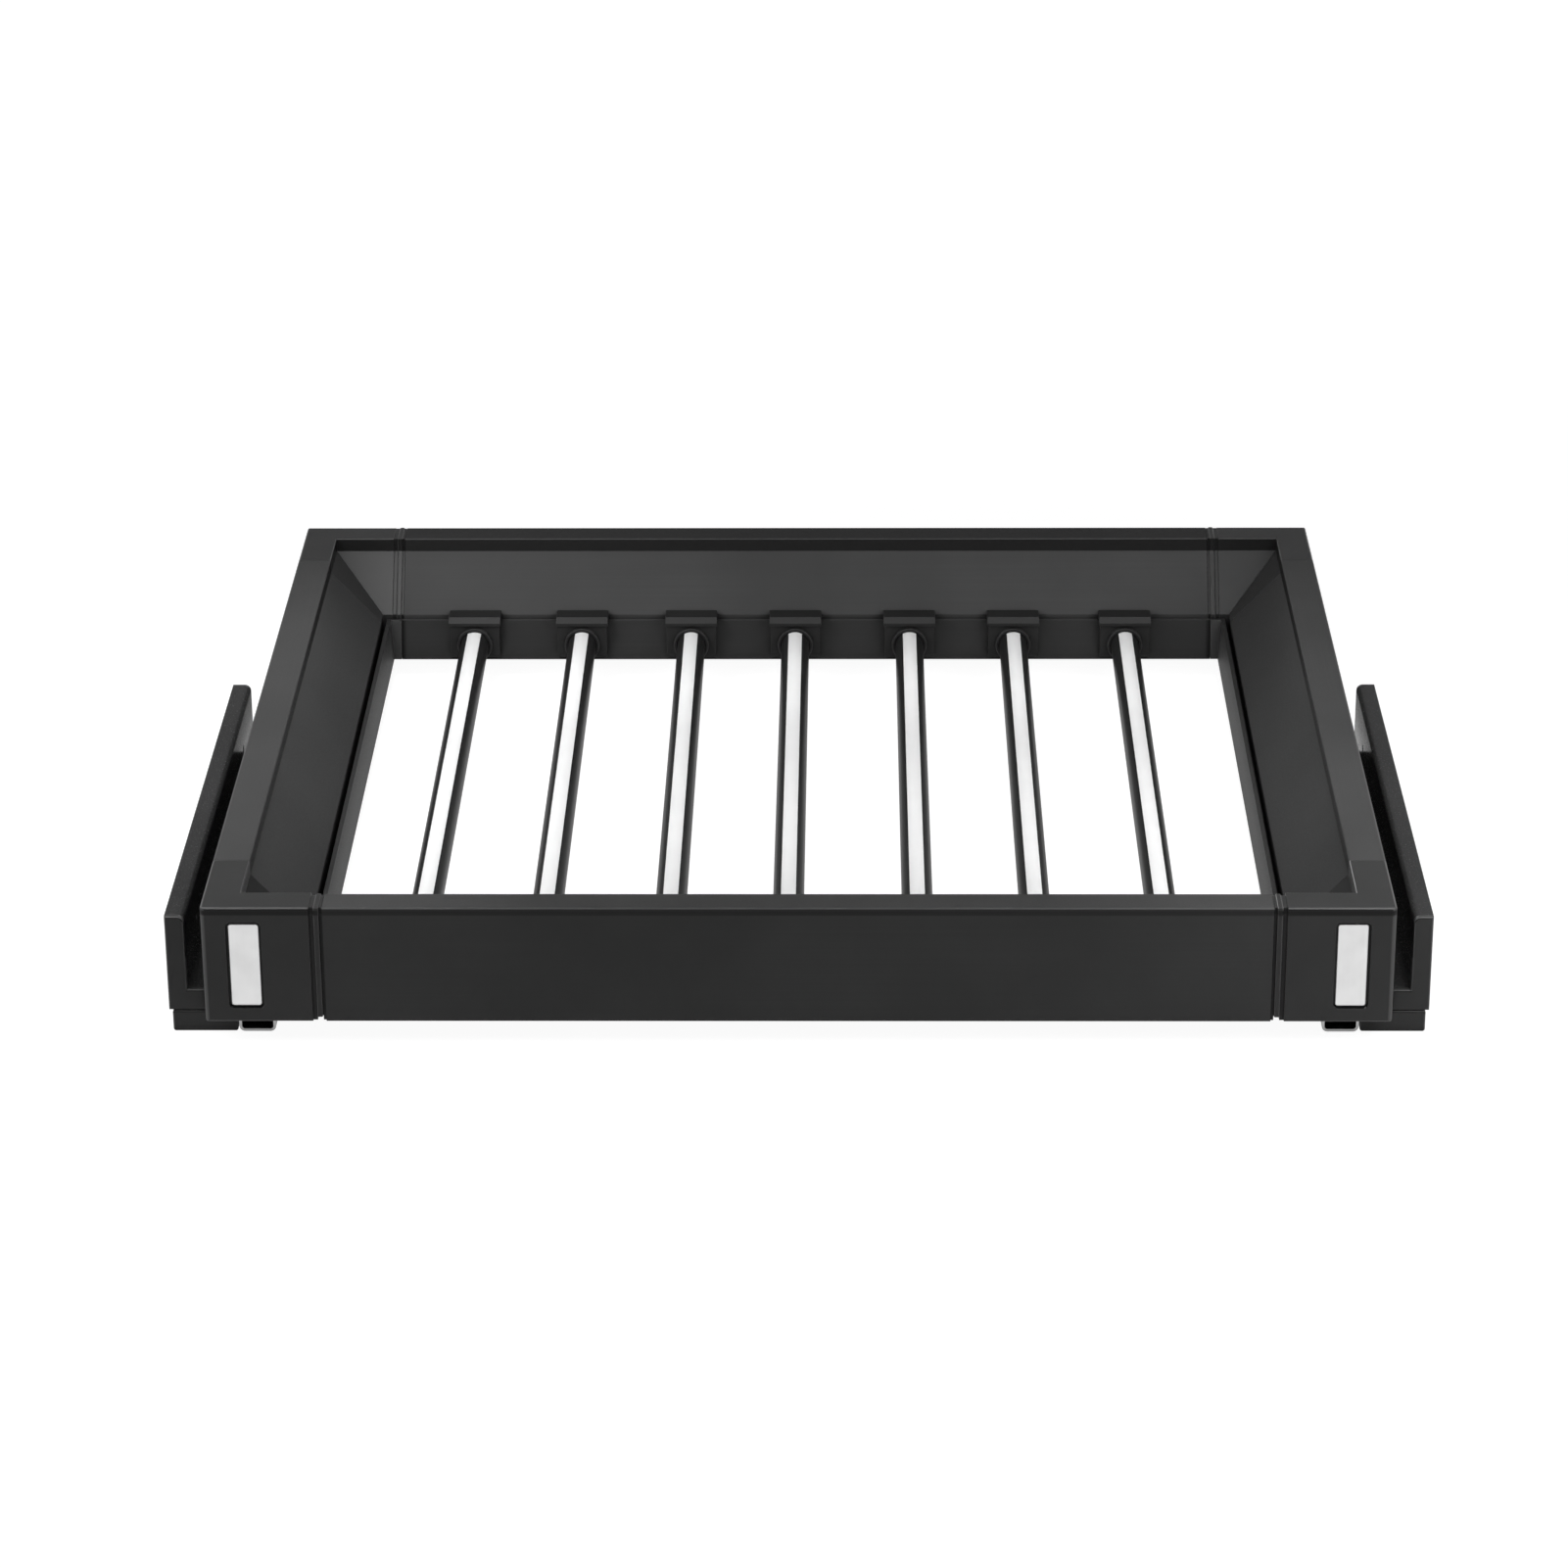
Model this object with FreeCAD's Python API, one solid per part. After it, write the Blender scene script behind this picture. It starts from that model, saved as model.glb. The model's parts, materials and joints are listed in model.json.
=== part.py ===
import FreeCAD, Part
import math
import os

from FreeCAD import Vector

# Pull-out trouser rack for a wardrobe: a hollow picture-frame of four bars and four corner
# pieces, seven rods that hook over a lip inside it, and two side channels on ball slides.
# Millimetres. X runs across, Y from front to back and Z up. The origin is under the middle of
# the rack, on the plane that its slides stand on.

# Overall sizes
overall_width = 564.0
frame_depth = 480.0
frame_height = 55.8

# Section of the frame's bars: reach is measured inward from the outer face, height from below
bar_wall = 1.8
rim_reach = 16.8
front_rim_reach = 15.5
rim_step = 7.0
slope_reach = 38.9
side_slope_reach = 42.0
slope_foot = 21.5
groove_width = 2.4
groove_depth = 9.0
lip_wall = 2.0
lip_top = 20.0
lip_reach = 49.1
side_lip_reach = 48.2
outer_edge_radius = 1.2
inner_edge_radius = 0.7
lip_edge_radius = 0.6

# Corner pieces
corner_arm = 52.0
corner_across_arm_front = 48.2
corner_across_arm_back = 47.0
corner_side_arm_front = 51.3
corner_side_arm_back = 49.0
corner_wall = 3.0
corner_end_wall = 4.0
corner_edge_radius = 2.4
collar_width = 5.8
collar_inset = 1.0
collar_face_inset_front = 1.8
collar_face_inset_back = 0.4
collar_top_inset = 0.4
collar_foot = 0.2
collar_rib_inset = 0.05
collar_rib_width = 2.6
collar_rib_shift = 0.4
collar_rib_radius = 0.6
collar_notch_width = 2.6
collar_notch_height = 2.4
seam = 0.2
spigot_length = 20.0
spigot_wall = 2.6
spigot_fit = 0.15
corner_screw_reach = 33.5
corner_screw_setback = 10.0

# Badge plates on the two front corners
badge_width = 13.5
badge_height = 39.8
badge_thickness = 1.0
badge_edge_radius = 0.3
badge_corner_radius = 1.2
badge_side_margin = 12.2
badge_foot = 7.7
badge_window_gap = 1.1
badge_window_depth = 1.8

# Rods and the clips that carry them
rod_count = 7
rod_pitch = 56.7
rod_set_shift = -3.6
rod_slid = (0.4, 0.0, 0.5, -1.7, 1.3, -1.1, 0.6)
rod_radius = 7.25
rod_wall = 2.2
rod_height = 10.0
strip_half_width = 3.5
strip_thickness = 1.2
strip_proud = 0.15
strip_fit = 0.05
clip_width = 27.0
clip_cap_height = 4.3
clip_cap_bevel = 2.6
clip_cap_overhang = 0.9
clip_plate = 3.0
clip_plate_foot = 2.5
clip_side_inset = 0.6
clip_lip_gap = 0.3
clip_tongue = 1.5
clip_tongue_length = 7.0
boss_radius = 9.2
boss_length = 1.8
boss_edge_radius = 0.6
socket_floor = 1.0
socket_fit = 0.15
rod_end_gap = 0.2

# Side channels, screwed to the cabinet
channel_length = 273.0
channel_setback = 12.0
channel_height = 45.9
channel_wall = 8.7
channel_skin = 1.5
channel_foot = 10.0
channel_foot_reach = 8.0
channel_edge_radius = 3.0
channel_clearance = 1.0
cap_thickness = 2.5
cap_plug_length = 7.0
cap_edge_radius = 0.8
cap_fit = 0.15
mount_hole_radius = 2.25
mount_hole_spacing = 192.0
mount_hole_height = 28.0

# Ball slides: reach is measured inward from the channel's outer face
slide_height = 10.8
rail_skin = 1.2
rail_lip = 3.3
rail_edge_radius = 2.6
fixed_rail_start = 1.5
fixed_rail_margin = 1.5
moving_rail_inset = 13.5
moving_rail_width = 16.5
moving_rail_lift = 0.3
moving_rail_cutback = 5.0
rail_front_gap = 0.5
rail_tab_gap = 1.0
middle_rail_thickness = 3.2
middle_rail_edge_gap = 3.8
middle_rail_cutback = 12.0
bumper_length = 9.0
bumper_side_gap = 0.5
bumper_clearance = 0.3
bumper_edge_radius = 1.2
bumper_face_radius = 0.8
bumper_pocket = 5.0
bumper_fit = 0.1
ball_clearance = 0.3
ball_pitch = 13.0
ball_count = 6
ball_inset = 5.5
cage_thickness = 1.0
cage_length = 80.0
cage_web_gap = 1.3
cage_flange = 9.0
cage_hole_fit = 0.2

# Countersunk screws
screw_shank_radius = 1.5
screw_head_radius = 2.9
screw_length = 7.0
screw_fit = 0.15
rail_screw_count = 3
rail_screw_margin = 35.0

# How far a cutting shape runs past what it cuts, and how near counts as touching
overcut = 1.0
touching = 0.001

# Sizes that follow
side_gap = channel_wall + channel_foot_reach + channel_clearance
frame_width = overall_width - 2 * side_gap
front_lip_end = frame_width / 2 - corner_arm - seam
front_body_end = frame_width / 2 - corner_across_arm_front - collar_width - seam
back_body_end = frame_width / 2 - corner_across_arm_back - collar_width - seam
side_lip_end = frame_depth / 2 - corner_arm - seam
side_body_front = -(frame_depth / 2 - corner_side_arm_front - seam)
side_body_back = frame_depth / 2 - corner_side_arm_back - seam
lip_setback = groove_width + lip_wall
clip_back = lip_reach + clip_lip_gap
clip_front = clip_back + clip_plate
clip_plate_front = clip_front - clip_cap_overhang
boss_mouth = clip_front + boss_length
rod_start = clip_back + socket_floor + rod_end_gap
channel_front = -frame_depth / 2 + channel_setback
fixed_rail_front = channel_front + bumper_length + rail_front_gap
fixed_rail_back = channel_front + channel_length
moving_rail_front = channel_front
moving_rail_back = channel_front + channel_length - moving_rail_cutback
middle_rail_front = channel_front + bumper_length - bumper_pocket
middle_rail_back = channel_front + channel_length - middle_rail_cutback
rail_tab_end = middle_rail_front - rail_tab_gap
fixed_rail_end = channel_wall + channel_foot_reach - fixed_rail_margin
moving_rail_start = side_gap + moving_rail_inset
moving_rail_end = moving_rail_start + moving_rail_width
middle_rail_start = fixed_rail_start + rail_skin + middle_rail_edge_gap
middle_rail_end = moving_rail_end - rail_skin - middle_rail_edge_gap
slide_middle = slide_height / 2
ball_gap = (slide_height - 2 * rail_skin - middle_rail_thickness) / 2
ball_offset = (middle_rail_thickness + ball_gap) / 2
ball_radius = ball_gap / 2 - ball_clearance


def section(corners, place):
    """Face with straight sides between corners (a, b, radius), each rounded by its radius."""
    points = [place(a, b) for a, b, _ in corners]
    count = len(points)
    bends = []
    for index, (_, _, radius) in enumerate(corners):
        corner = points[index]
        if radius == 0:
            bends.append((corner, None, corner))
            continue
        back = (points[index - 1] - corner).normalize()
        ahead = (points[(index + 1) % count] - corner).normalize()
        half = back.getAngle(ahead) / 2
        run = radius / math.tan(half)
        bisector = (back + ahead).normalize()
        middle = corner + bisector * (radius / math.sin(half) - radius)
        bends.append((corner + back * run, middle, corner + ahead * run))
    edges = []
    for index, (start, middle, end) in enumerate(bends):
        if middle is not None:
            edges.append(Part.Arc(start, middle, end).toShape())
        edges.append(Part.LineSegment(end, bends[(index + 1) % count][0]).toShape())
    return Part.Face(Part.Wire(edges))


def box(low, high):
    """Box between two opposite corners, given in any order."""
    start = Vector(*(min(a, b) for a, b in zip(low, high)))
    size = [abs(b - a) for a, b in zip(low, high)]
    return Part.makeBox(*size, start)


def mirrored(shape):
    """The same piece on the other side of the rack."""
    return shape.mirror(Vector(0, 0, 0), Vector(1, 0, 0))


def rounded_end(shape, along, place, radius):
    """The piece with the edges of its flat end, at place along a direction, rounded."""
    edges = []
    for edge in shape.Edges:
        if all(abs(vertex.Point.dot(along) - place) < touching for vertex in edge.Vertexes):
            edges.append(edge)
    return shape.makeFillet(radius, edges)


def screw(head, inward):
    """Countersunk screw: its flat head is at head and it runs along inward."""
    head_height = screw_head_radius - screw_shank_radius
    cone = Part.makeCone(screw_head_radius, screw_shank_radius, head_height, head, inward)
    shank = Part.makeCylinder(screw_shank_radius, screw_length, head, inward)
    return cone.fuse(shank).removeSplitter()


def screw_hole(head, inward):
    """Room for a screw, with its clearance all round."""
    head_height = screw_head_radius - screw_shank_radius
    wide = screw_head_radius + screw_fit
    narrow = screw_shank_radius + screw_fit
    cone = Part.makeCone(wide, narrow, head_height, head, inward)
    return cone.fuse(Part.makeCylinder(narrow, screw_length + screw_fit, head, inward))


# Each side of the frame has an outer face, an inward direction and a direction along it
SIDES = {
    "front": (Vector(0, -frame_depth / 2, 0), Vector(0, 1, 0), Vector(1, 0, 0)),
    "back": (Vector(0, frame_depth / 2, 0), Vector(0, -1, 0), Vector(1, 0, 0)),
    "left": (Vector(-frame_width / 2, 0, 0), Vector(1, 0, 0), Vector(0, 1, 0)),
}


def on_side(side, reach, along, height):
    """Point of the frame: reach inward from a side's outer face, height above its underside."""
    face, inward, direction = SIDES[side]
    return face + inward * reach + direction * along + Vector(0, 0, slide_height + height)


def bar_prism(side, corners, start, end):
    """Solid with the given section (reach, height, radius) along one side of the frame."""
    face = section(corners, lambda reach, height: on_side(side, reach, start, height))
    return face.extrude(SIDES[side][2] * (end - start))


def bar_outline(rim, slope_end, lip_end):
    """Outer section of the frame: rim, step, slope, groove and the lip that the clips hook over."""
    lip_back = slope_end + groove_width
    return [
        (0, 0, outer_edge_radius),
        (0, frame_height, outer_edge_radius),
        (rim, frame_height, inner_edge_radius),
        (rim, frame_height - rim_step, 0),
        (slope_end, slope_foot, 0),
        (slope_end, lip_top - groove_depth, 0),
        (lip_back, lip_top - groove_depth, 0),
        (lip_back, lip_top, 0),
        (lip_back + lip_wall, lip_top, 0),
        (lip_end, 0, lip_edge_radius),
    ]


def inset_section(rim, slope_end, inset, bottom, face_inset=None, top_inset=None):
    """The frame's section without its lip, drawn in by inset; its bottom, face and top can differ."""
    fall = (frame_height - rim_step - slope_foot) / (slope_end - rim)
    face = inset if face_inset is None else face_inset
    top = frame_height - (inset if top_inset is None else top_inset)

    def slope(reach):
        return frame_height - rim_step - (reach - rim) * fall - inset * math.hypot(1, fall)

    inner_rim = rim - inset
    inner_slope = slope_end - inset
    return [
        (face, bottom, 0),
        (face, top, 0),
        (inner_rim, top, 0),
        (inner_rim, slope(inner_rim), 0),
        (inner_slope, slope(inner_slope), 0),
        (inner_slope, bottom, 0),
    ]


def lip_chamber(slope_end, lip_end):
    """Second hollow of a bar, under its groove and behind its lip."""
    top = lip_top - groove_depth - bar_wall
    lean = (lip_end - slope_end - lip_setback) / lip_top

    def inner_face(height):
        return lip_end - height * lean - bar_wall

    return [
        (slope_end, bar_wall, 0),
        (slope_end, top, 0),
        (inner_face(top), top, 0),
        (inner_face(bar_wall), bar_wall, 0),
    ]


# Start and end of each bar's hollow body and of its lip, and how far its rim, slope and lip reach in
BAR_BODIES = {
    "front": (-front_body_end, front_body_end),
    "back": (-back_body_end, back_body_end),
    "left": (side_body_front, side_body_back),
}
BAR_LIPS = {
    "front": (-front_lip_end, front_lip_end),
    "back": (-front_lip_end, front_lip_end),
    "left": (-side_lip_end, side_lip_end),
}
RIMS = {"front": front_rim_reach, "back": rim_reach, "left": rim_reach}
SLOPES = {"front": slope_reach, "back": slope_reach, "left": side_slope_reach}
LIPS = {"front": lip_reach, "back": lip_reach, "left": side_lip_reach}


def corner_screw_heads(side):
    """Heads of the screws through a bar's underside into the spigots at its two ends."""
    start, end = BAR_BODIES[side]
    places = (start + corner_screw_setback, end - corner_screw_setback)
    return [on_side(side, corner_screw_reach, along, 0) for along in places]


def make_bar(side, screw_heads):
    """Hollow bar whose body and lip end at different places, as the corner pieces need."""
    body = BAR_BODIES[side]
    lip = BAR_LIPS[side]
    slope_end = SLOPES[side]
    lip_end = LIPS[side]
    start = min(body[0], lip[0])
    end = max(body[1], lip[1])
    cuts = [
        bar_prism(side, inset_section(RIMS[side], slope_end, bar_wall, bar_wall), start, end),
        bar_prism(side, lip_chamber(slope_end, lip_end), start, end),
    ]
    for ends, low, high in ((body, -overcut, slope_end), (lip, slope_end, lip_end + overcut)):
        for near, far in ((ends[0], start - overcut), (ends[1], end + overcut)):
            below = on_side(side, low, near, -overcut)
            above = on_side(side, high, far, frame_height + overcut)
            cuts.append(box(below, above))
    for head in screw_heads:
        cuts.append(screw_hole(head, Vector(0, 0, 1)))
    return bar_prism(side, bar_outline(RIMS[side], slope_end, lip_end), start, end).cut(cuts)


def corner_plan(front, points):
    """Prism over the left corner's plan; points are distances from its two outer faces."""
    end = -1 if front else 1
    low = slide_height - overcut
    corners = []
    for across, deep in points:
        corners.append(Vector(-frame_width / 2 + across, end * (frame_depth / 2 - deep), low))
    face = Part.Face(Part.makePolygon(corners + corners[:1]))
    return face.extrude(Vector(0, 0, frame_height + 2 * overcut))


def mitre_line(size):
    """Plan of the line where the faces of a side arm and of an arm across meet."""
    return [
        (0, 0),
        (rim_reach, rim_reach),
        (side_slope_reach, slope_reach),
        (side_slope_reach + lip_setback, slope_reach + lip_setback),
        (side_lip_reach, lip_reach),
        (size, size),
    ]


def mitred(front, across_corners, side_corners, across_arm, side_arm):
    """Two arms with sections of their own that meet in a mitre at a left corner."""
    side = "front" if front else "back"
    left = -frame_width / 2
    size = max(across_arm, side_arm) + overcut
    across = bar_prism(side, across_corners, left, left + across_arm)
    across = across.common(corner_plan(front, mitre_line(size) + [(size, 0)]))
    end = -1 if front else 1
    near = end * frame_depth / 2
    along = bar_prism("left", side_corners, near, near - end * side_arm)
    along = along.common(corner_plan(front, mitre_line(size) + [(0, size)]))
    return across.fuse(along).removeSplitter()


def spigot(side, start, end):
    """Hollow plug that fits inside a bar."""
    inset = bar_wall + spigot_fit
    outer = inset_section(RIMS[side], SLOPES[side], inset, inset)
    bore = inset + spigot_wall
    inner = inset_section(RIMS[side], SLOPES[side], bore, bore)
    return bar_prism(side, outer, start, end).cut(bar_prism(side, inner, start, end))


def make_collar(front, start):
    """Collar between a corner piece and its bar: two grooves with a rounded rib between them."""
    side = "front" if front else "back"
    rim = RIMS[side]
    face_inset = collar_face_inset_front if front else collar_face_inset_back
    grooves = inset_section(rim, slope_reach, collar_inset, collar_foot, face_inset, collar_top_inset)
    collar = bar_prism(side, grooves, start, start + collar_width)
    middle = start + collar_width / 2 + collar_rib_shift
    rib_ends = (middle - collar_rib_width / 2, middle + collar_rib_width / 2)
    rib_section = inset_section(rim, slope_reach, collar_rib_inset, collar_notch_height)
    rib = bar_prism(side, rib_section, *rib_ends)
    for place in rib_ends:
        rib = rounded_end(rib, SIDES[side][2], place, collar_rib_radius)
    notch = box(
        on_side(side, -overcut, middle - collar_notch_width / 2, -overcut),
        on_side(side, slope_reach, middle + collar_notch_width / 2, collar_notch_height),
    )
    return collar.fuse(rib).removeSplitter().cut(notch)


def make_corner(front):
    """Left corner piece: a mitred shell, open below, with a collar and two spigots."""
    side = "front" if front else "back"
    across_arm = corner_across_arm_front if front else corner_across_arm_back
    side_arm = corner_side_arm_front if front else corner_side_arm_back
    end = -1 if front else 1
    left = -frame_width / 2
    near = end * frame_depth / 2
    outlines = [bar_outline(rim_reach, SLOPES[arm], LIPS[arm]) for arm in (side, "left")]
    body = mitred(front, *outlines, corner_arm, corner_arm)
    past_end = corner_arm + overcut
    hollows = [inset_section(rim_reach, SLOPES[arm], corner_wall, -overcut) for arm in (side, "left")]
    body = body.cut([
        corner_plan(front, [
            (-overcut, side_arm),
            (side_slope_reach, side_arm),
            (side_slope_reach, past_end),
            (-overcut, past_end),
        ]),
        corner_plan(front, [
            (across_arm, -overcut),
            (across_arm, slope_reach),
            (past_end, slope_reach),
            (past_end, -overcut),
        ]),
        mitred(front, *hollows, across_arm - corner_end_wall, side_arm - corner_end_wall),
    ])

    collar_start = left + across_arm
    collar_end = collar_start + collar_width
    across_spigot = spigot(side, collar_end, collar_end + spigot_length)
    side_start = near - end * side_arm
    side_spigot = spigot("left", side_start, side_start - end * spigot_length)
    collar = make_collar(front, collar_start)
    body = body.fuse([collar, across_spigot, side_spigot]).removeSplitter()

    corner = Vector(left, near, slide_height - overcut)
    height = frame_height + 2 * overcut
    axis = corner + Vector(corner_edge_radius, -end * corner_edge_radius, 0)
    square = box(corner, axis + Vector(0, 0, height))
    cuts = [square.cut(Part.makeCylinder(corner_edge_radius, height, axis))]
    for head in (corner_screw_heads(side)[0], corner_screw_heads("left")[0 if front else 1]):
        cuts.append(screw_hole(head, Vector(0, 0, 1)))
    if front:
        cuts.append(badge_solid(badge_window_gap, badge_window_depth, -overcut))
    return body.cut(cuts)


def make_corner_screws():
    """Two screws at each corner, from below through the bars into the spigots."""
    heads = [corner_screw_heads("front")[0], corner_screw_heads("back")[0]]
    heads += corner_screw_heads("left")
    screws = [screw(head, Vector(0, 0, 1)) for head in heads]
    return Part.makeCompound(screws + [mirrored(piece) for piece in screws])


def badge_solid(margin, floor, face):
    """Plate on the front left corner, grown by margin, between two depths behind the front."""
    radius = badge_corner_radius + margin
    corners = [
        (-margin, -margin, radius),
        (-margin, badge_height + margin, radius),
        (badge_width + margin, badge_height + margin, radius),
        (badge_width + margin, -margin, radius),
    ]
    start = -frame_width / 2 + badge_side_margin
    foot = slide_height + badge_foot
    back = -frame_depth / 2 + floor
    outline = section(corners, lambda across, up: Vector(start + across, back, foot + up))
    return outline.extrude(Vector(0, face - floor, 0))


def make_badge():
    """Bare plate that lies on the floor of its window."""
    face = badge_window_depth - badge_thickness
    plate = badge_solid(0, badge_window_depth, face)
    return rounded_end(plate, Vector(0, 1, 0), -frame_depth / 2 + face, badge_edge_radius)


def rod_place(index):
    """Where a rod stands across the rack: an even pitch, then as far as it has been slid."""
    even = (index - (rod_count - 1) / 2) * rod_pitch
    return even + rod_set_shift + rod_slid[index % len(rod_slid)]


def rod_sector(inner, outer, half_width, x):
    """Length of a ring's top, between two upright planes half_width either side of its axis."""
    start = Vector(x, -frame_depth / 2 + rod_start, slide_height + rod_height)
    length = frame_depth - 2 * rod_start
    ahead = Vector(0, 1, 0)
    ring = Part.makeCylinder(outer, length, start, ahead)
    ring = ring.cut(Part.makeCylinder(inner, length, start, ahead))
    block = box(start + Vector(-half_width, 0, 0), start + Vector(half_width, length, 2 * outer))
    return ring.common(block)


def make_rod(x):
    """Tube with a channel along its top, and the strip that lies in the channel."""
    start = Vector(x, -frame_depth / 2 + rod_start, slide_height + rod_height)
    length = frame_depth - 2 * rod_start
    ahead = Vector(0, 1, 0)
    tube = Part.makeCylinder(rod_radius, length, start, ahead)
    tube = tube.cut(Part.makeCylinder(rod_radius - rod_wall, length, start, ahead))
    channel_floor = rod_radius - strip_thickness
    tube = tube.cut(rod_sector(channel_floor, rod_radius + overcut, strip_half_width, x))
    outer = rod_radius + strip_proud
    strip = rod_sector(channel_floor + strip_fit, outer, strip_half_width - strip_fit, x)
    return tube, strip


def make_clip(x):
    """Front clip: it hooks over the lip and holds the rod's end in a socket."""
    cap_top = lip_top + clip_cap_height
    tongue_middle = slope_reach + groove_width / 2
    tongue_back = tongue_middle - clip_tongue / 2
    tongue_front = tongue_middle + clip_tongue / 2
    corners = [
        (tongue_back, lip_top - clip_tongue_length, 0),
        (tongue_back, cap_top, inner_edge_radius),
        (clip_front - clip_cap_bevel, cap_top, 0),
        (clip_front, cap_top - clip_cap_bevel, 0),
        (clip_front, lip_top, 0),
        (clip_plate_front, lip_top, 0),
        (clip_plate_front, clip_plate_foot, inner_edge_radius),
        (clip_back, clip_plate_foot, 0),
        (clip_back, lip_top, 0),
        (tongue_front, lip_top, 0),
        (tongue_front, lip_top - clip_tongue_length, 0),
    ]
    hook = bar_prism("front", corners, x - clip_width / 2, x + clip_width / 2)
    for sign in (-1, 1):
        outer = x + sign * clip_width / 2
        hook = hook.cut(box(
            on_side("front", clip_back - clip_lip_gap, outer, clip_plate_foot - overcut),
            on_side("front", clip_front + overcut, outer - sign * clip_side_inset, lip_top),
        ))
    ahead = Vector(0, 1, 0)
    boss_start = on_side("front", clip_back, x, rod_height)
    boss = Part.makeCylinder(boss_radius, boss_mouth - clip_back, boss_start, ahead)
    boss = rounded_end(boss, ahead, boss_start.y + boss_mouth - clip_back, boss_edge_radius)
    socket_start = on_side("front", clip_back + socket_floor, x, rod_height)
    socket_radius = rod_radius + strip_proud + socket_fit
    socket = Part.makeCylinder(socket_radius, boss_mouth - clip_back, socket_start, ahead)
    return hook.fuse(boss).removeSplitter().cut(socket)


def channel_point(reach, y, height):
    """Point of the left slide: reach inward from the channel's outer face, height from its foot."""
    return Vector(-overall_width / 2 + reach, y, height)


def along_channel(corners, start, end):
    """Solid with a section (reach, height, radius) between two depths on the left slide."""
    face = section(corners, lambda reach, height: channel_point(reach, start, height))
    return face.extrude(Vector(0, end - start, 0))


def channel_section(inset):
    """Section of the side channel, a tall wall with a foot, drawn in by inset."""
    radius = max(channel_edge_radius - inset, 0)
    wall = channel_wall - inset
    foot_end = channel_wall + channel_foot_reach - inset
    low = slide_height + inset
    foot_top = slide_height + channel_foot - inset
    top = slide_height + channel_height - inset
    return [
        (inset, low, 0),
        (inset, top, 0),
        (wall, top, radius),
        (wall, foot_top, 0),
        (foot_end, foot_top, 0),
        (foot_end, low, 0),
    ]


def make_channel():
    """Hollow side channel with two holes for the cabinet's screws."""
    start = channel_front + cap_thickness
    end = channel_front + channel_length - cap_thickness
    channel = along_channel(channel_section(0), start, end)
    cuts = [along_channel(channel_section(channel_skin), start, end)]
    for y in mount_hole_places():
        start = channel_point(-overcut, y, slide_height + mount_hole_height)
        length = channel_wall + 2 * overcut
        cuts.append(Part.makeCylinder(mount_hole_radius, length, start, Vector(1, 0, 0)))
    for head in fixed_screw_heads():
        cuts.append(screw_hole(head, Vector(0, 0, 1)))
    return channel.cut(cuts)


def mount_hole_places():
    """Depths of the two mounting holes, about the channel's middle."""
    middle = channel_front + channel_length / 2
    return [middle - mount_hole_spacing / 2, middle + mount_hole_spacing / 2]


def make_caps():
    """Moulded caps that close the channel's two ends, each with a plug inside the channel."""
    caps = []
    back_end = channel_front + channel_length
    for outer, inward in ((channel_front, 1), (back_end, -1)):
        seat = outer + inward * cap_thickness
        plate = along_channel(channel_section(0), outer, seat)
        plug_end = seat + inward * cap_plug_length
        plug = along_channel(channel_section(channel_skin + cap_fit), seat, plug_end)
        cap = plate.fuse(plug).removeSplitter()
        caps.append(rounded_end(cap, Vector(0, 1, 0), outer, cap_edge_radius))
    return Part.makeCompound(caps)


def screw_rows(front, back):
    """Evenly spaced depths of a rail's screws."""
    first = front + rail_screw_margin
    last = back - rail_screw_margin
    step = (last - first) / max(rail_screw_count - 1, 1)
    return [first + step * index for index in range(rail_screw_count)]


def fixed_screw_heads():
    """Heads of the screws that hold the fixed rail up to the channel's foot."""
    reach = (fixed_rail_start + fixed_rail_end) / 2
    rows = screw_rows(fixed_rail_front, fixed_rail_back)
    return [channel_point(reach, y, slide_height - rail_skin) for y in rows]


def moving_screw_heads():
    """Heads of the screws that hold the moving rail up to the frame's side bar."""
    reach = (moving_rail_start + moving_rail_end) / 2
    rows = screw_rows(side_body_front, moving_rail_back)
    return [channel_point(reach, y, slide_height - rail_skin) for y in rows]


def rail_section(closed, opening, low):
    """Rolled C section from its closed side to its opening, with lips turned in beside the opening."""
    turn = math.copysign(rail_skin, opening - closed)
    inner_radius = rail_edge_radius - rail_skin
    floor = low + rail_skin
    roof = slide_height - rail_skin
    return [
        (closed, low, rail_edge_radius),
        (closed, slide_height, rail_edge_radius),
        (opening, slide_height, rail_edge_radius),
        (opening, slide_height - rail_lip, 0),
        (opening - turn, slide_height - rail_lip, 0),
        (opening - turn, roof, inner_radius),
        (closed + turn, roof, inner_radius),
        (closed + turn, floor, inner_radius),
        (opening - turn, floor, inner_radius),
        (opening - turn, rail_lip, 0),
        (opening, rail_lip, 0),
        (opening, low, rail_edge_radius),
    ]


def make_fixed_rail():
    """Rolled rail under the channel's foot, open towards the middle of the rack."""
    corners = rail_section(fixed_rail_start, fixed_rail_end, 0)
    rail = along_channel(corners, fixed_rail_front, fixed_rail_back)
    return rail.cut([screw_hole(head, Vector(0, 0, 1)) for head in fixed_screw_heads()])


def make_moving_rail():
    """Rolled rail under the frame's side bar, open towards the cabinet's side behind a stop tab."""
    corners = rail_section(moving_rail_end, moving_rail_start, moving_rail_lift)
    rail = along_channel(corners, moving_rail_front, moving_rail_back)
    tab = box(
        channel_point(moving_rail_start, moving_rail_front, rail_lip),
        channel_point(moving_rail_start + rail_skin, rail_tab_end, slide_height - rail_lip),
    )
    rail = rail.fuse(tab).removeSplitter()
    return rail.cut([screw_hole(head, Vector(0, 0, 1)) for head in moving_screw_heads()])


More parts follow.
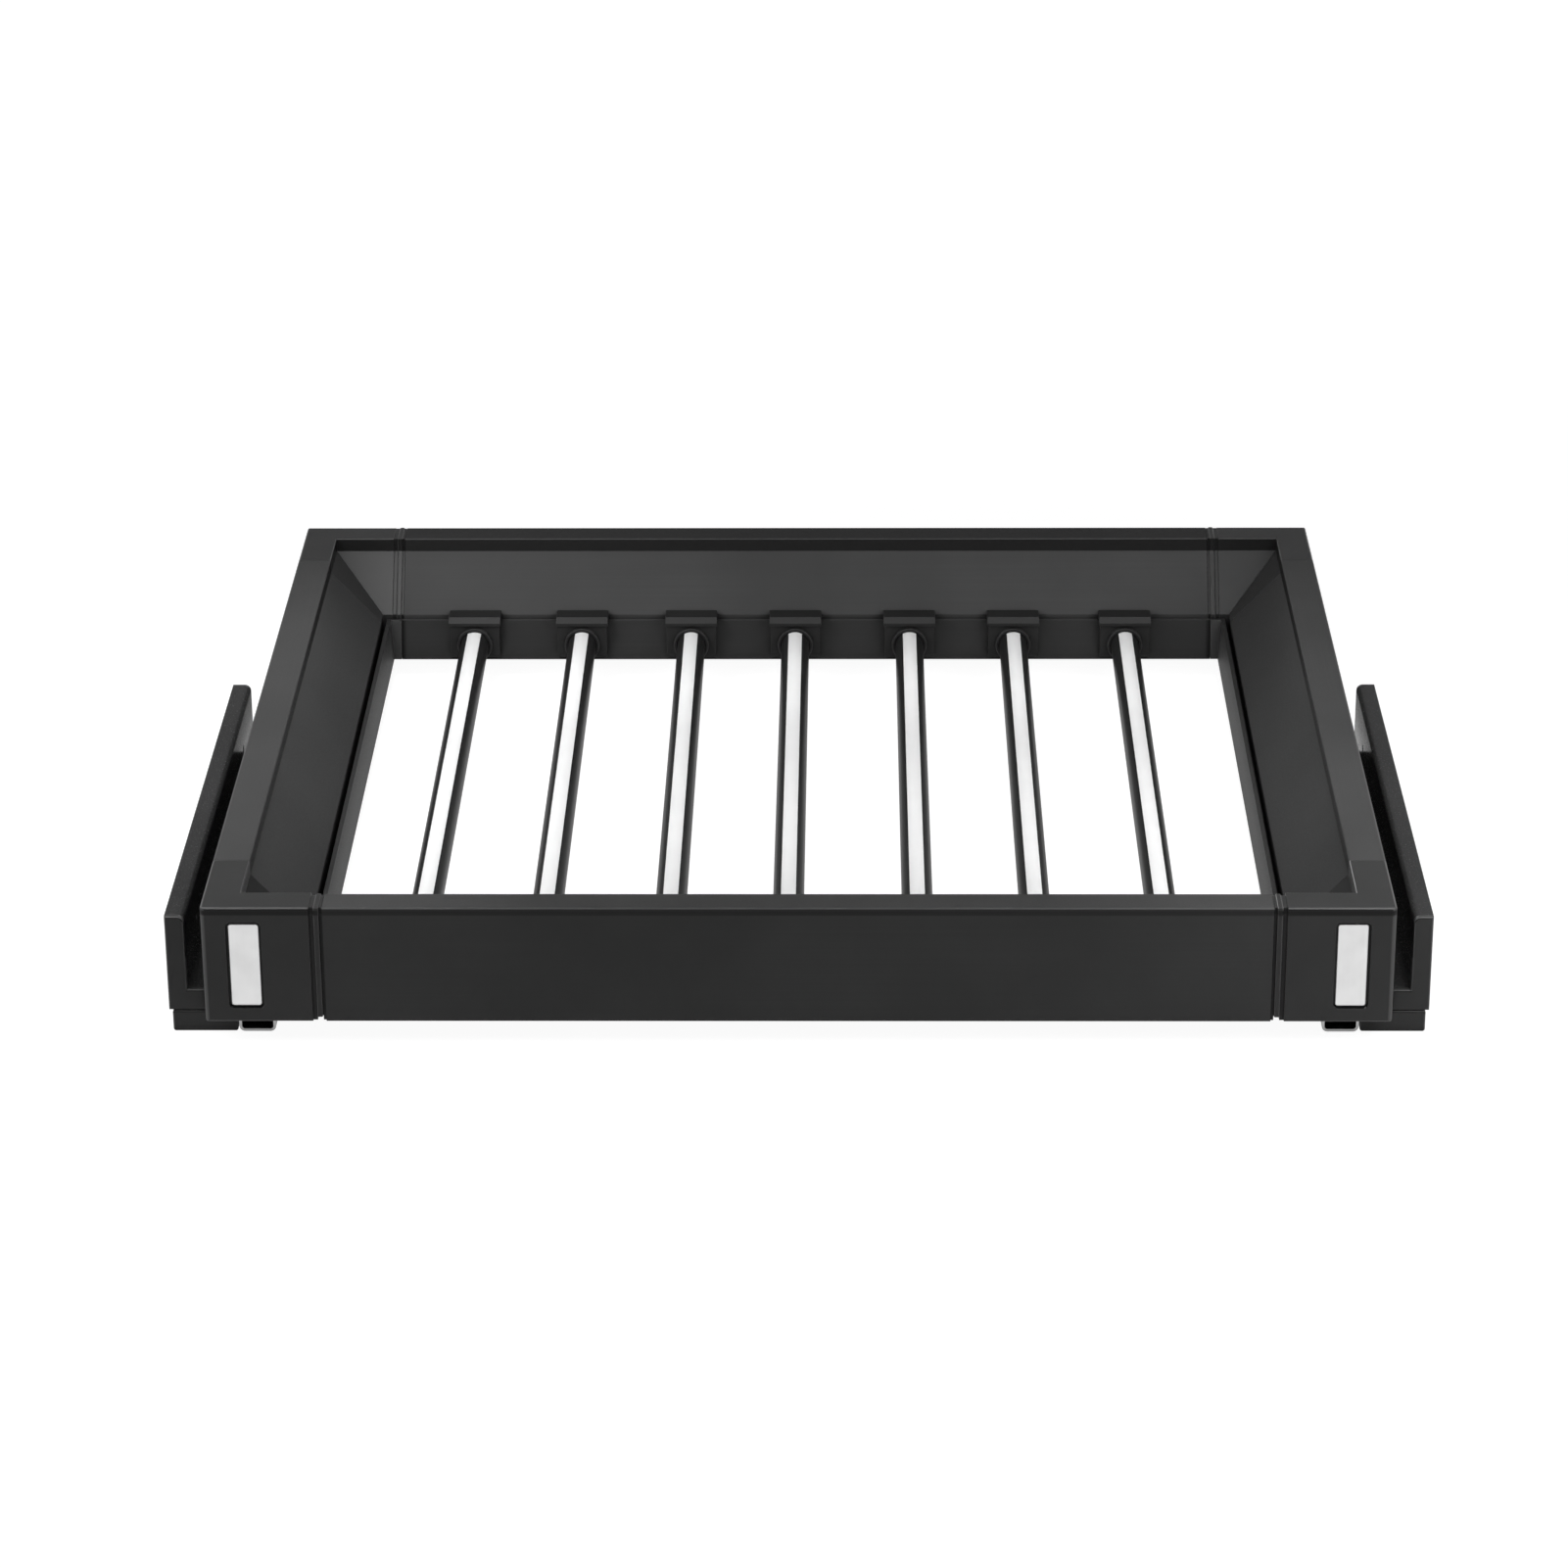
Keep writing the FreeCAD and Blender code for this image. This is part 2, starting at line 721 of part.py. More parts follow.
def middle_rail_section(margin):
    """Flat section of the middle rail, grown by margin."""
    half = middle_rail_thickness / 2 + margin
    return [
        (middle_rail_start - margin, slide_middle - half, 0),
        (middle_rail_start - margin, slide_middle + half, 0),
        (middle_rail_end + margin, slide_middle + half, 0),
        (middle_rail_end + margin, slide_middle - half, 0),
    ]


def make_bumper():
    """Moulded stop on the middle rail's front end; it meets the fixed rail when the rack is in."""
    left = fixed_rail_start
    right = moving_rail_start - bumper_side_gap
    low = bumper_clearance
    high = slide_height - bumper_clearance
    corners = [
        (left, low, bumper_edge_radius),
        (left, high, bumper_edge_radius),
        (right, high, bumper_edge_radius),
        (right, low, bumper_edge_radius),
    ]
    end = channel_front + bumper_length
    block = along_channel(corners, channel_front, end)
    block = rounded_end(block, Vector(0, 1, 0), channel_front, bumper_face_radius)
    pocket = along_channel(middle_rail_section(bumper_fit), middle_rail_front, end + overcut)
    return block.cut(pocket)


def cage_middle():
    """Depth of the ball cages' middle, half way along the channel."""
    return channel_front + channel_length / 2


def ball_places(reach):
    """Centres of a cage's balls, in one row above the middle rail and one below it."""
    first = cage_middle() - ball_pitch * (ball_count - 1) / 2
    places = []
    for offset in (-ball_offset, ball_offset):
        for index in range(ball_count):
            places.append(channel_point(reach, first + ball_pitch * index, slide_middle + offset))
    return places


def make_cage(web, inward):
    """Cage and its balls: two flanges joined round the middle rail's edge; inward is 1 or -1."""
    half = ball_offset + cage_thickness / 2
    gap = half - cage_thickness
    tip = web + inward * cage_flange
    inner_web = web + inward * cage_thickness
    corners = [
        (web, slide_middle - half, 0),
        (web, slide_middle + half, 0),
        (tip, slide_middle + half, 0),
        (tip, slide_middle + gap, 0),
        (inner_web, slide_middle + gap, 0),
        (inner_web, slide_middle - gap, 0),
        (tip, slide_middle - gap, 0),
        (tip, slide_middle - half, 0),
    ]
    start = cage_middle() - cage_length / 2
    cage = along_channel(corners, start, start + cage_length)
    places = ball_places(web + inward * ball_inset)
    hole_radius = ball_radius + cage_hole_fit
    up = Vector(0, 0, 1)
    holes = []
    for place in places:
        holes.append(Part.makeCylinder(hole_radius, 2 * cage_thickness, place - up * cage_thickness, up))
    balls = [Part.makeSphere(ball_radius, place) for place in places]
    return cage.cut(holes), Part.makeCompound(balls)


def left_slide():
    """The pieces of the left side channel and its slide, by name."""
    outer_web = fixed_rail_start + rail_skin + cage_web_gap
    inner_web = moving_rail_end - rail_skin - cage_web_gap
    outer_cage, outer_balls = make_cage(outer_web, 1)
    inner_cage, inner_balls = make_cage(inner_web, -1)
    up = Vector(0, 0, 1)
    return {
        "side_channel": make_channel(),
        "channel_caps": make_caps(),
        "fixed_rail": make_fixed_rail(),
        "fixed_rail_screws": Part.makeCompound([screw(head, up) for head in fixed_screw_heads()]),
        "middle_rail": along_channel(middle_rail_section(0), middle_rail_front, middle_rail_back),
        "middle_rail_bumper": make_bumper(),
        "moving_rail": make_moving_rail(),
        "moving_rail_screws": Part.makeCompound([screw(head, up) for head in moving_screw_heads()]),
        "outer_ball_cage": outer_cage,
        "outer_balls": outer_balls,
        "inner_ball_cage": inner_cage,
        "inner_balls": inner_balls,
    }


def front_to_back(shape):
    """The same piece at the other end of a rod."""
    return shape.mirror(Vector(0, 0, 0), Vector(0, 1, 0))


def make_parts():
    """All the rack's pieces, by name."""
    parts = {
        "front_bar": make_bar("front", corner_screw_heads("front")),
        "back_bar": make_bar("back", corner_screw_heads("back")),
        "left_bar": make_bar("left", corner_screw_heads("left") + moving_screw_heads()),
        "front_left_corner": make_corner(True),
        "back_left_corner": make_corner(False),
        "corner_screws": make_corner_screws(),
        "left_badge": make_badge(),
    }
    parts["right_bar"] = mirrored(parts["left_bar"])
    parts["front_right_corner"] = mirrored(parts["front_left_corner"])
    parts["back_right_corner"] = mirrored(parts["back_left_corner"])
    parts["right_badge"] = mirrored(parts["left_badge"])
    for index in range(rod_count):
        x = rod_place(index)
        name = f"rod_{index + 1}"
        parts[f"{name}_tube"], parts[f"{name}_strip"] = make_rod(x)
        clip = make_clip(x)
        parts[f"{name}_clips"] = Part.makeCompound([clip, front_to_back(clip)])
    for name, shape in left_slide().items():
        parts[f"left_{name}"] = shape
        parts[f"right_{name}"] = mirrored(shape)
    return parts


os.makedirs("parts", exist_ok=True)
for node, shape in make_parts().items():
    shape.exportStep(f"parts/{node}.step")
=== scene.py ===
import json
import math

import bpy
from mathutils import Matrix, Vector


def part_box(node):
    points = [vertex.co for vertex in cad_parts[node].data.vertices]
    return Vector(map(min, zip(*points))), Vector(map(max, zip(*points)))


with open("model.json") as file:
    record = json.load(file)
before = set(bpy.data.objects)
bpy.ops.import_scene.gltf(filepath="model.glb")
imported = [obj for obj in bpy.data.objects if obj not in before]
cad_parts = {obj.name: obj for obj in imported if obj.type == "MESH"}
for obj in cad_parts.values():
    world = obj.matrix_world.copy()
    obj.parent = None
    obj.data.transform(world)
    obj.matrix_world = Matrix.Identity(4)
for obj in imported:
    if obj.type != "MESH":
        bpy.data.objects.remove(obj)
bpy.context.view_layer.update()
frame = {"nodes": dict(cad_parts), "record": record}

# The camera stands where the photograph was taken: place in metres, turns in degrees
CAMERA_PLACE = (0.0224, -2.2156, 0.9822)
CAMERA_PITCH = 23.422
CAMERA_YAW = 0.812
CAMERA_ROLL = -0.326
FOCAL_PIXELS = 5042.6
PHOTO_PIXELS = 1601
SENSOR_WIDTH = 36.0

# Stage: a pale floor that the background's white joins without an edge
FLOOR_SIZE = 12.0
FLOOR_COLOR = (0.6, 0.6, 0.6, 1.0)
SHOWN_FLOOR_COLOR = (0.2, 0.2, 0.2, 1.0)
SHOWN_FLOOR_GLOW = (0.94, 1.0)
FLOOR_GLOW_REACH = (0.45, 0.9)
WHITE = (1.0, 1.0, 1.0, 1.0)
OVERHEAD = (0.12, 0.12, 0.123, 1.0)
BACKDROP_TOP = (0.06, 0.26)
AMBIENT = (0.02, 0.02, 0.0205, 1.0)

# Heights and places on the frame's bars between which a painted shade or light starts and ends, in metres
BAR_LOW, BAR_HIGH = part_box("front_bar")
LIP_HEIGHT = 0.02
RIM_TOP = BAR_HIGH[2]
LIP_TOP = BAR_LOW[2] + LIP_HEIGHT
LIP_END = BAR_HIGH[0]
UNDER_RIM = (RIM_TOP - 0.0036, RIM_TOP - 0.0012)
UNDER_RIM_BLUR = 0.0004
ABOVE_CLIPS = (LIP_TOP + 0.005, LIP_TOP + 0.006)
BELOW_LIP_TOP = (LIP_TOP + 0.0008, LIP_TOP + 0.0004)
LIP_FADE = (LIP_TOP - 0.012, LIP_TOP)
LIP_END_SHADE = (LIP_END - 0.0026, LIP_END - 0.0008)

# Faces told apart by tilt, the upward part of their unit normal
STEP_TILT = (-0.12, 0.12)
LIP_TILT = (0.03, 0.4)
SLOPE_TILT = (0.55, 0.75)
INNER_EDGE_TILT = (0.7, 0.96)
OUTER_EDGE_TILT = (0.5, 0.95)
EDGE_SHADE_TILT = (0.06, 0.4)
LEVEL_TILT = (0.9, 0.95)
INNER_TILT_BLUR = 0.03
OUTER_TILT_BLUR = 0.04

# Faces told apart by turn, how far they look away from the middle of the rack
INNER_TURN = (-0.05, -0.25)
OUTER_TURN = (0.3, 0.5)
OUTER_EDGE_TURN = (0.03, 0.1)

# Edges told apart by their normals: upright ones look between two sides, sharp ones bend in a bevel
UPRIGHT_EDGE_BEND = (0.12, 0.3)
SHARP_EDGE_BEND = (0.98, 0.75)
BEVEL_SAMPLES = 6

# Painted shade in crevices: the reach in metres, the darkest tone, and the open share from darkest to
# full
CREVICE_SHADE = (0.006, 0.3)
STEEL_CREVICE = (0.006, 0.4)
CLIP_CREVICE = (0.012, 0.3)
CREVICE_OPEN = (0.25, 0.85)
CREVICE_SAMPLES = 8

# Tones, as shares of the colour elsewhere: painted shade on steps, under edges and at lip ends, painted
# highlights on edges, painted light and shade on side lips, and a random unevenness
STEP_SHADE_TONE = 0.25
COAT_EDGE_HIGHLIGHT = 1.5
COAT_SHADE_TONE = 0.6
MOULD_EDGE_HIGHLIGHT = 2.4
MOULD_SHADE_TONE = 0.1
LIP_END_SHADE_TONE = 0.1
LIP_LIGHT_AND_SHADE = (1.15, 0.6)
UNEVENNESS = 0.1
STEEL_UNEVENNESS = 0.15

# Surface textures: repeats per metre, and how far draw lines are stretched
GRAIN = 1500.0
FINE_GRAIN = 2600.0
CLOUD = 14.0
STREAK = 900.0
NOISE_RANGE = (0.3, 0.7)
COAT_STRETCH = 0.006
BRUSH_STRETCH = 0.02
TUBE_STRETCH = 0.004
STRIP_STRETCH = 0.003
ROLL_STRETCH = 0.01

# How far the grain takes a surface's roughness down and up
COAT_GRAIN = (-0.06, 0.06)
MOULD_GRAIN = (-0.05, 0.07)

# Surface relief: depth in metres and strength
COAT_RELIEF = (0.00003, 0.35)
MOULD_RELIEF = (0.00002, 0.35)
BRUSH_RELIEF = (0.00001, 0.25)
TUBE_RELIEF = (0.00001, 0.2)
STRIP_RELIEF = (0.000008, 0.2)


def set_socket(tree, socket, value):
    """Feeds a socket with another node's output, or sets it to a plain value."""
    if isinstance(value, bpy.types.NodeSocket):
        tree.links.new(value, socket)
    else:
        socket.default_value = value


def add_node(tree, kind, inputs, **settings):
    """New node with its settings, and its inputs by name or number."""
    node = tree.nodes.new(kind)
    for name, value in settings.items():
        setattr(node, name, value)
    for name, value in inputs.items():
        set_socket(tree, node.inputs[name], value)
    return node


def map_range(tree, value, start, end, low=0.0, high=1.0):
    """Maps a value from start..end to low..high, and keeps it there beyond."""
    inputs = {"Value": value, "From Min": start, "From Max": end, "To Min": low, "To Max": high}
    return add_node(tree, "ShaderNodeMapRange", inputs).outputs["Result"]


def rgba(value):
    """A grey level as a colour; anything else stays as it is."""
    if isinstance(value, float):
        return (value, value, value, 1.0)
    return value


class Look:
    """One procedural material: a principled shader, with helpers that add nodes to it."""

    def __init__(self, name, metallic=0.0, specular=0.5):
        self.material = bpy.data.materials.new(name)
        self.material.use_nodes = True
        self.tree = self.material.node_tree
        self.shader = self.tree.nodes["Principled BSDF"]
        self.shader.inputs["Metallic"].default_value = metallic
        self.shader.inputs["Specular IOR Level"].default_value = specular
        coordinates = self.tree.nodes.new("ShaderNodeTexCoord")
        self.place = coordinates.outputs["Object"]
        self.normal = coordinates.outputs["Normal"]

    def math(self, operation, first, second=0.0):
        """Result of a sum on values."""
        node = add_node(self.tree, "ShaderNodeMath", {0: first, 1: second}, operation=operation)
        return node.outputs["Value"]

    def vector(self, operation, first, second=(0.0, 0.0, 0.0)):
        """Result of a sum on vectors."""
        node = add_node(self.tree, "ShaderNodeVectorMath", {0: first, 1: second}, operation=operation)
        return node.outputs["Value" if operation == "DOT_PRODUCT" else "Vector"]

    def part_of(self, vector, axis):
        """One of a vector's three parts."""
        return add_node(self.tree, "ShaderNodeSeparateXYZ", {"Vector": vector}).outputs[axis]

    def height(self):
        """Height of a point on the rack."""
        return self.part_of(self.place, "Z")

    def tilt(self):
        """How far a face looks up."""
        return self.part_of(self.normal, "Z")

    def turn(self):
        """Above 0 on faces that look away from the middle of the rack, below 0 on inner ones."""
        level = self.vector("MULTIPLY", self.place, (1.0, 1.0, 0.0))
        return self.vector("DOT_PRODUCT", self.normal, self.vector("NORMALIZE", level))

    def noise(self, scale, detail=2.0, stretch=(1.0, 1.0, 1.0)):
        """Noise about the value 0.5; a stretch below 1 draws it out along that axis."""
        place = self.vector("MULTIPLY", self.place, stretch)
        inputs = {"Vector": place, "Scale": scale, "Detail": detail}
        return add_node(self.tree, "ShaderNodeTexNoise", inputs).outputs["Fac"]

    def spread(self, noise, low=0.0, high=1.0):
        """Maps noise to low..high."""
        return map_range(self.tree, noise, *NOISE_RANGE, low, high)

    def ramp(self, value, start, end):
        """0 up to start and 1 from end on; start may be the larger of the two."""
        return map_range(self.tree, value, start, end)

    def band(self, value, start, end, blur):
        """1 where a value lies between start and end, with soft borders."""
        rise = self.ramp(value, start - blur, start + blur)
        fall = self.ramp(value, end + blur, end - blur)
        return self.math("MULTIPLY", rise, fall)

    def inner_faces(self, tilt):
        """Mask of the faces that look to the middle of the rack with a given tilt."""
        inner = self.ramp(self.turn(), *INNER_TURN)
        return self.math("MULTIPLY", inner, self.band(self.tilt(), *tilt, INNER_TILT_BLUR))

    def above_clips(self):
        """1 above the height of the lips and the clips on them, 0 below."""
        return self.ramp(self.height(), *ABOVE_CLIPS)

    def step_faces(self):
        """Mask of the upright step under the inner edge of the rim."""
        return self.math("MULTIPLY", self.above_clips(), self.inner_faces(STEP_TILT))

    def slope_faces(self):
        """Mask of the slope between the step and the groove."""
        return self.inner_faces(SLOPE_TILT)

    def lip_faces(self):
        """Mask of the steep face of the lip."""
        low = self.math("SUBTRACT", 1.0, self.above_clips())
        return self.math("MULTIPLY", low, self.inner_faces(LIP_TILT))

    def rim_tops(self):
        """Mask of the level top of the rim."""
        return self.math("MULTIPLY", self.ramp(self.tilt(), *LEVEL_TILT), self.above_clips())

    def lip_tops(self):
        """Mask of the level top of the lip, and of the groove's floor beside it."""
        low = self.ramp(self.height(), *BELOW_LIP_TOP)
        return self.math("MULTIPLY", self.ramp(self.tilt(), *LEVEL_TILT), low)

    def lip_ends(self):
        """Mask of the front and back lips' last millimetres, in the shade of the corner pieces."""
        across = self.math("ABSOLUTE", self.part_of(self.place, "X"))
        return self.ramp(across, *LIP_END_SHADE)

    def inner_highlight_edges(self):
        """Mask of the rounded inner edges of the rim, where a highlight is painted."""
        return self.inner_faces(INNER_EDGE_TILT)

    def outer_highlight_edges(self):
        """Mask of the rounded outer edges, top and upright, where a highlight is painted."""
        outer = self.ramp(self.turn(), *OUTER_EDGE_TURN)
        top = self.math("MULTIPLY", outer, self.band(self.tilt(), *OUTER_EDGE_TILT, OUTER_TILT_BLUR))
        level_parts = (self.part_of(self.normal, axis) for axis in "XY")
        bend = self.math("ABSOLUTE", self.math("MULTIPLY", *level_parts))
        return self.math("MAXIMUM", top, self.ramp(bend, *UPRIGHT_EDGE_BEND))

    def edge_shade(self):
        """Mask of the thin shaded line below the top edge of the outer faces."""
        rounded = self.ramp(self.turn(), *OUTER_EDGE_TURN)
        under_edge = self.band(self.tilt(), *EDGE_SHADE_TILT, OUTER_TILT_BLUR)
        outer = self.ramp(self.turn(), *OUTER_TURN)
        under_rim = self.band(self.height(), *UNDER_RIM, UNDER_RIM_BLUR)
        lines = (self.math("MULTIPLY", *pair) for pair in ((rounded, under_edge), (outer, under_rim)))
        return self.math("MAXIMUM", *lines)

    def sharp_edges(self, radius):
        """Mask of edges that a small radius would round, and the normal with them rounded."""
        bevel = add_node(self.tree, "ShaderNodeBevel", {"Radius": radius}, samples=BEVEL_SAMPLES)
        geometry = self.tree.nodes.new("ShaderNodeNewGeometry")
        bend = self.vector("DOT_PRODUCT", bevel.outputs["Normal"], geometry.outputs["Normal"])
        return self.ramp(bend, *SHARP_EDGE_BEND), bevel.outputs["Normal"]

    def crevice_shade(self, reach, darkest):
        """Painted shade: 1 on open faces, falling to darkest in grooves narrower than about reach."""
        inputs = {"Distance": reach}
        node = add_node(self.tree, "ShaderNodeAmbientOcclusion", inputs, samples=CREVICE_SAMPLES)
        return map_range(self.tree, node.outputs["AO"], *CREVICE_OPEN, darkest, 1.0)

    def mix(self, mask, base, other):
        """Base colour, changed to another where mask is 1; a colour may be one grey level."""
        inputs = {"Factor": mask, "A": rgba(base), "B": rgba(other)}
        return add_node(self.tree, "ShaderNodeMix", inputs, data_type="RGBA").outputs["Result"]

    def uneven(self, mask, grey, share=UNEVENNESS):
        """A grey that a mask makes darker and paler by a share."""
        return self.mix(mask, grey * (1 - share), grey * (1 + share))

    def shaded(self, color, factor):
        """Colour times a value."""
        inputs = {0: color, "Scale": factor}
        return add_node(self.tree, "ShaderNodeVectorMath", inputs, operation="SCALE").outputs["Vector"]

    def toned(self, color, mask, tone):
        """Colour times a tone where mask is 1."""
        return self.shaded(color, map_range(self.tree, mask, 0.0, 1.0, 1.0, tone))

    def bump(self, height, relief, normal=None):
        """Relief of a depth in metres and a strength."""
        depth, strength = relief
        inputs = {"Height": height, "Distance": depth, "Strength": strength}
        if normal is not None:
            inputs["Normal"] = normal
        self.feed("Normal", add_node(self.tree, "ShaderNodeBump", inputs).outputs["Normal"])

    def feed(self, socket, value):
        """Links a value to one of the shader's sockets."""
        set_socket(self.tree, self.shader.inputs[socket], value)


def coated_color(look, along, grey):
    """Black coat over faint draw lines, with a painted highlight on outer edges and painted shade under
    them, under the rim and on the step.
    """
    stretch = tuple(COAT_STRETCH if axis == along else 1.0 for axis in "xyz")
    cloud = look.noise(CLOUD, detail=3.0)
    lines = look.noise(STREAK, detail=1.0, stretch=stretch)
    mask = look.math("MULTIPLY", look.spread(cloud), look.spread(lines, low=0.7))
    color = look.mix(look.outer_highlight_edges(), look.uneven(mask, grey), grey * COAT_EDGE_HIGHLIGHT)
    color = look.mix(look.edge_shade(), color, grey * COAT_SHADE_TONE)
    return look.mix(look.step_faces(), color, grey * STEP_SHADE_TONE)


def coated_bar(
    name, along, grey, specular=0.05, roughness=0.56, rim_shade_tone=1.0, slope_shade_tone=1.0, lip_shade_tone=1.0
):
    """Matt black powder coat over an extrusion along one axis, with tones of painted shade for some of
    its faces.

    Painted shade darkens lips along x at their two ends; lips along y get painted light low down and
    painted shade towards their top. Crevices get painted shade too.
    """
    look = Look(name, specular=specular)
    color = coated_color(look, along, grey)
    lip = look.lip_faces()
    for mask, tone in ((look.rim_tops(), rim_shade_tone), (look.slope_faces(), slope_shade_tone), (lip, lip_shade_tone)):
        color = look.toned(color, mask, tone)
    if along == "x":
        color = look.mix(look.math("MULTIPLY", lip, look.lip_ends()), color, grey * LIP_END_SHADE_TONE)
    else:
        fade = map_range(look.tree, look.height(), *LIP_FADE, *LIP_LIGHT_AND_SHADE)
        color = look.mix(look.math("MAXIMUM", lip, look.lip_tops()), color, look.shaded(color, fade))
    look.feed("Base Color", look.shaded(color, look.crevice_shade(*CREVICE_SHADE)))
    grain = look.noise(GRAIN)
    look.feed("Roughness", look.spread(grain, *(roughness + change for change in COAT_GRAIN)))
    look.bump(grain, COAT_RELIEF)
    return look.material


def moulded(
    name,
    grey,
    roughness=0.45,
    specular=0.1,
    edge_highlight_tone=MOULD_EDGE_HIGHLIGHT,
    inner_edge_highlight_tone=MOULD_EDGE_HIGHLIGHT,
    crevice_shade=CREVICE_SHADE,
    slope_shade_tone=1.0,
    slope_roughness=0.0,
):
    """Moulded plastic with an even fine grain, with painted highlights on its edges and painted shade
    under its top edge, on the step, in crevices and, where a tone is given, on the slope.
    """
    look = Look(name, specular=specular)
    edge_highlight_mask, normal = look.sharp_edges(radius=0.0005)
    slope = look.slope_faces()
    color = look.uneven(look.spread(look.noise(CLOUD * 2, detail=3.0)), grey)
    color = look.mix(look.math("MAXIMUM", look.outer_highlight_edges(), edge_highlight_mask), color, grey * edge_highlight_tone)
    color = look.mix(look.inner_highlight_edges(), color, grey * inner_edge_highlight_tone)
    color = look.mix(look.edge_shade(), color, grey * MOULD_SHADE_TONE)
    color = look.mix(look.step_faces(), color, grey * STEP_SHADE_TONE)
    color = look.toned(color, slope, slope_shade_tone)
    look.feed("Base Color", look.shaded(color, look.crevice_shade(*crevice_shade)))
    grain = look.noise(FINE_GRAIN)
    grainy = look.spread(grain, *(roughness + change for change in MOULD_GRAIN))
    dull = map_range(look.tree, slope, 0.0, 1.0, 0.0, slope_roughness)
    look.feed("Roughness", look.math("MAXIMUM", grainy, dull))
    look.bump(grain, MOULD_RELIEF, normal)
    return look.material


def satin_plate(name, greys=(0.63, 0.69), plate_highlight_grey=0.95, roughness=(0.3, 0.42)):
    """Bare satin aluminium with fine upright brush lines and a painted highlight along its edges."""
    look = Look(name, metallic=1.0)
    lines = look.noise(STREAK * 2, stretch=(1.0, 1.0, BRUSH_STRETCH))
    border, normal = look.sharp_edges(radius=0.0009)
    color = look.mix(look.spread(look.noise(CLOUD * 6)), *greys)
    look.feed("Base Color", look.mix(border, color, plate_highlight_grey))
    look.feed("Roughness", look.spread(lines, *roughness))
    look.bump(lines, BRUSH_RELIEF, normal)
    return look.material


def rod_black(name, greys=(0.014, 0.02), roughness=(0.34, 0.44)):
    """Satin black anodised tube with faint draw lines."""
    look = Look(name, specular=0.08)
    lines = look.noise(STREAK, detail=1.0, stretch=(1.0, TUBE_STRETCH, 1.0))
    look.feed("Base Color", look.mix(look.spread(lines), *greys))
    look.feed("Roughness", look.spread(lines, *roughness))
    look.bump(lines, TUBE_RELIEF)
    return look.material


def rod_strip(name, greys=(0.94, 0.98), roughness=(0.36, 0.46)):
    """Bright satin strip, drawn lengthways; the strip is a real part, and its near-white colour also
    paints the rods' reflected highlight.
    """
    look = Look(name, metallic=0.1)
    lines = look.noise(STREAK * 2, detail=1.0, stretch=(1.0, STRIP_STRETCH, 1.0))
    look.feed("Base Color", look.mix(look.spread(look.noise(CLOUD * 3)), *greys))
    look.feed("Roughness", look.spread(lines, *roughness))
    look.bump(lines, STRIP_RELIEF)
    return look.material


def rolled_steel(name, grey, cut_grey, roughness=(0.3, 0.44), cut_faces=(0.8, 0.95)):
    """Rolled and plated steel with lengthways marks, brighter cut ends and painted shade in crevices."""
    look = Look(name, metallic=0.9)
    lines = look.noise(STREAK, stretch=(1.0, ROLL_STRETCH, 1.0))
    cloud = look.noise(CLOUD * 3, detail=3.0)
    along = look.math("ABSOLUTE", look.part_of(look.normal, "Y"))
    color = look.uneven(look.spread(cloud), grey, STEEL_UNEVENNESS)
    color = look.mix(look.ramp(along, *cut_faces), color, cut_grey)
    look.feed("Base Color", look.shaded(color, look.crevice_shade(*STEEL_CREVICE)))
    look.feed("Roughness", look.spread(lines, *roughness))
    look.bump(lines, BRUSH_RELIEF)
    return look.material


def polished_steel(name, greys=(0.74, 0.8), roughness=(0.08, 0.16)):
    """Ground bearing balls."""
    look = Look(name, metallic=1.0)
    grain = look.noise(FINE_GRAIN, detail=1.0)
    look.feed("Base Color", look.mix(grain, *greys))
    look.feed("Roughness", look.spread(grain, *roughness))
    return look.material


# What the corner pieces share, and what sets the front ones' slopes apart: painted shade and a duller
# finish
CORNER = {"grey": 0.028, "roughness": 0.37, "specular": 0.16}
FRONT_CORNER = {**CORNER, "slope_shade_tone": 0.4, "slope_roughness": 0.75}

# Tones below 1 on lips, rims and slopes paint shade; edge tones above 1 paint highlights; the clips' wide
# crevice reach paints a shadow under their caps
LOOKS = {
    "bar_black": coated_bar("bar_black_front", "x", grey=0.05, lip_shade_tone=0.5),
    "corner_black": moulded("corner_black", **CORNER),
    "badge_satin": satin_plate("badge_satin"),
    "rod_black": rod_black("rod_black"),
    "rod_strip": rod_strip("rod_strip"),
    "clip_black": moulded("clip_black", grey=0.02, specular=0.06, edge_highlight_tone=1.8, crevice_shade=CLIP_CREVICE),
    "channel_black": coated_bar("channel_black", "y", grey=0.03, specular=0.25, roughness=0.22),
    "cap_black": moulded("cap_black", grey=0.04),
    "bumper_black": moulded("bumper_black", grey=0.04),
    "rail_steel": rolled_steel("rail_steel", grey=0.12, cut_grey=0.4),
    "cage_steel": rolled_steel("cage_steel", grey=0.45, cut_grey=0.6),
    "ball_steel": polished_steel("ball_steel"),
    "screw_steel": rolled_steel("screw_steel", grey=0.2, cut_grey=0.3),
}
# The side bars' slopes and the back bar's rim get painted shade
SIDE_BAR_LOOK = coated_bar("bar_black_side", "y", grey=0.052, specular=0.065, slope_shade_tone=0.8)
OWN_LOOKS = {
    "back_bar": coated_bar("bar_black_back", "x", grey=0.05, rim_shade_tone=0.65, lip_shade_tone=0.5),
    "left_bar": SIDE_BAR_LOOK,
    "right_bar": SIDE_BAR_LOOK,
    "front_left_corner": moulded("corner_black_front", **FRONT_CORNER),
    # The front right corner gets a strong painted highlight along the inner edge of its rim
    "front_right_corner": moulded("corner_black_inner_highlight", **FRONT_CORNER, inner_edge_highlight_tone=9.0),
}


